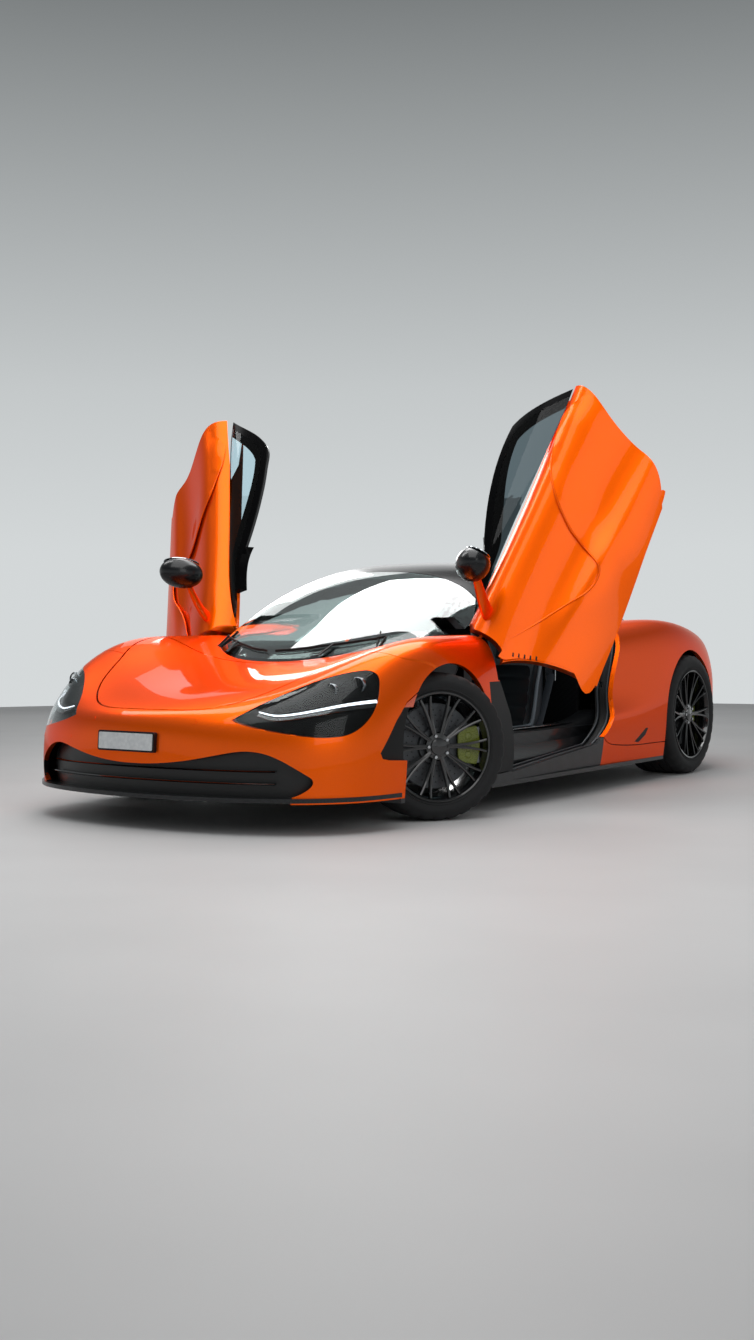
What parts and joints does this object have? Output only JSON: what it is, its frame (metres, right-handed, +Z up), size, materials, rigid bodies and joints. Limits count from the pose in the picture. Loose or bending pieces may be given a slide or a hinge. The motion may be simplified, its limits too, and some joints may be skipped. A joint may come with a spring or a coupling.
{
  "type": "sports car",
  "caption": "Low two-seat mid-engined sports car with both doors swung up and forward, front wheels steered and a lifting front lid.",
  "frame": {"origin": "on the ground under the middle of the whole car, on its centre plane", "axes": "+X to the car's left, +Y to its tail, +Z up"},
  "size_m": [3.0572, 4.5388, 2.0149],
  "materials": {
    "orange_paint": "gloss clear coat",
    "black_gloss": "gloss",
    "black_satin": "satin",
    "lamp_black": "gloss",
    "lamp_red": "gloss",
    "lamp_amber": "gloss",
    "clear_glass": "clear",
    "carbon_tub": "satin weave",
    "aluminium": "cast",
    "engine": "cast",
    "trim": "suede trim",
    "leather": "smooth",
    "rubber": "matt",
    "rim_black": "gloss"
  },
  "bodies": {
    "chassis": {"front_bumper": "orange_paint", "scuttle": "orange_paint", "front_wings": "orange_paint", "sills": "carbon_tub", "tail_grille": "black_satin", "tail_lamps": "lamp_red", "exhaust_pipes": "aluminium", "panel_flanges": "black_satin", "door_posts": "aluminium", "vent_liners": "black_satin", "side_lamps": "lamp_amber", "rear_body": "orange_paint", "rear_bumper": "orange_paint", "headlamps": "lamp_black", "mouth_grille": "black_satin", "windscreen": "clear_glass", "roof_panel": "black_gloss", "rear_glass": "clear_glass", "engine_cover": "black_gloss", "cabin_frame": "black_satin", "splitter": "black_satin", "floor": "black_satin", "diffuser": "black_satin", "tub": "carbon_tub", "front_beams": "aluminium", "front_boot_tub": "trim", "rear_beams": "aluminium", "engine_block": "engine", "dashboard": "trim", "centre_console": "trim", "chairs": "leather", "rear_uprights": "aluminium", "front_arms": "aluminium", "rear_arms": "aluminium"},
    "door_left_body": {"door_left": "orange_paint", "door_glass_left": "clear_glass", "door_upper_frame_left": "black_gloss", "mirror_left": "black_gloss"},
    "door_right_body": {"door_right": "orange_paint", "door_glass_right": "clear_glass", "door_upper_frame_right": "black_gloss", "mirror_right": "black_gloss"},
    "front_lid_body": {"front_lid": "orange_paint"},
    "steered_left": {"front_upright_left": "aluminium"},
    "steered_right": {"front_upright_right": "aluminium"},
    "wheel_front_left": {"front_tyre_left": "rubber", "front_rim_left": "rim_black"},
    "wheel_front_right": {"front_tyre_right": "rubber", "front_rim_right": "rim_black"},
    "wheel_rear_left": {"rear_tyre_left": "rubber", "rear_rim_left": "rim_black"},
    "wheel_rear_right": {"rear_tyre_right": "rubber", "rear_rim_right": "rim_black"},
    "steering_wheel_body": {"steering_wheel": "leather"}
  },
  "joints": [
    {"name": "door_left_hinge", "type": "hinge", "parent": "chassis", "child": "door_left_body", "pos_m": [0.666, -0.694, 0.837], "axis": [0.7048, -0.4519, -0.5469], "range_deg": [-78, 0]},
    {"name": "door_right_hinge", "type": "hinge", "parent": "chassis", "child": "door_right_body", "pos_m": [-0.666, -0.694, 0.837], "axis": [0.7048, 0.4519, 0.5469], "range_deg": [-78, 0]},
    {"name": "front_lid_hinge", "type": "hinge", "parent": "chassis", "child": "front_lid_body", "pos_m": [0, -1.15, 0.84], "axis": [-1, 0, 0], "range_deg": [0, 50]},
    {"name": "steer_left", "type": "hinge", "parent": "chassis", "child": "steered_left", "pos_m": [0.837, -1.2565, 0.327], "axis": [0, 0, 1], "range_deg": [0, 66]},
    {"name": "steer_right", "type": "hinge", "parent": "chassis", "child": "steered_right", "pos_m": [-0.837, -1.2565, 0.327], "axis": [0, 0, 1], "range_deg": [0, 66]},
    {"name": "spin_front_left", "type": "hinge", "parent": "steered_left", "child": "wheel_front_left", "pos_m": [0.837, -1.2565, 0.327], "axis": [0.8387, -0.5446, 0], "continuous": true},
    {"name": "spin_front_right", "type": "hinge", "parent": "steered_right", "child": "wheel_front_right", "pos_m": [-0.837, -1.2565, 0.327], "axis": [0.8387, -0.5446, 0], "continuous": true},
    {"name": "spin_rear_left", "type": "hinge", "parent": "chassis", "child": "wheel_rear_left", "pos_m": [0.8145, 1.4135, 0.345], "axis": [1, 0, 0], "continuous": true},
    {"name": "spin_rear_right", "type": "hinge", "parent": "chassis", "child": "wheel_rear_right", "pos_m": [-0.8145, 1.4135, 0.345], "axis": [1, 0, 0], "continuous": true},
    {"name": "steering_wheel_turn", "type": "hinge", "parent": "chassis", "child": "steering_wheel_body", "pos_m": [0.365, -0.43, 0.665], "axis": [0, 0.9326, 0.361], "range_deg": [0, 860]}
  ],
  "couplings": [
    {"joint": "steer_right", "follows": "steer_left", "ratio": 1},
    {"joint": "steering_wheel_turn", "follows": "steer_left", "ratio": 12.9}
  ]
}
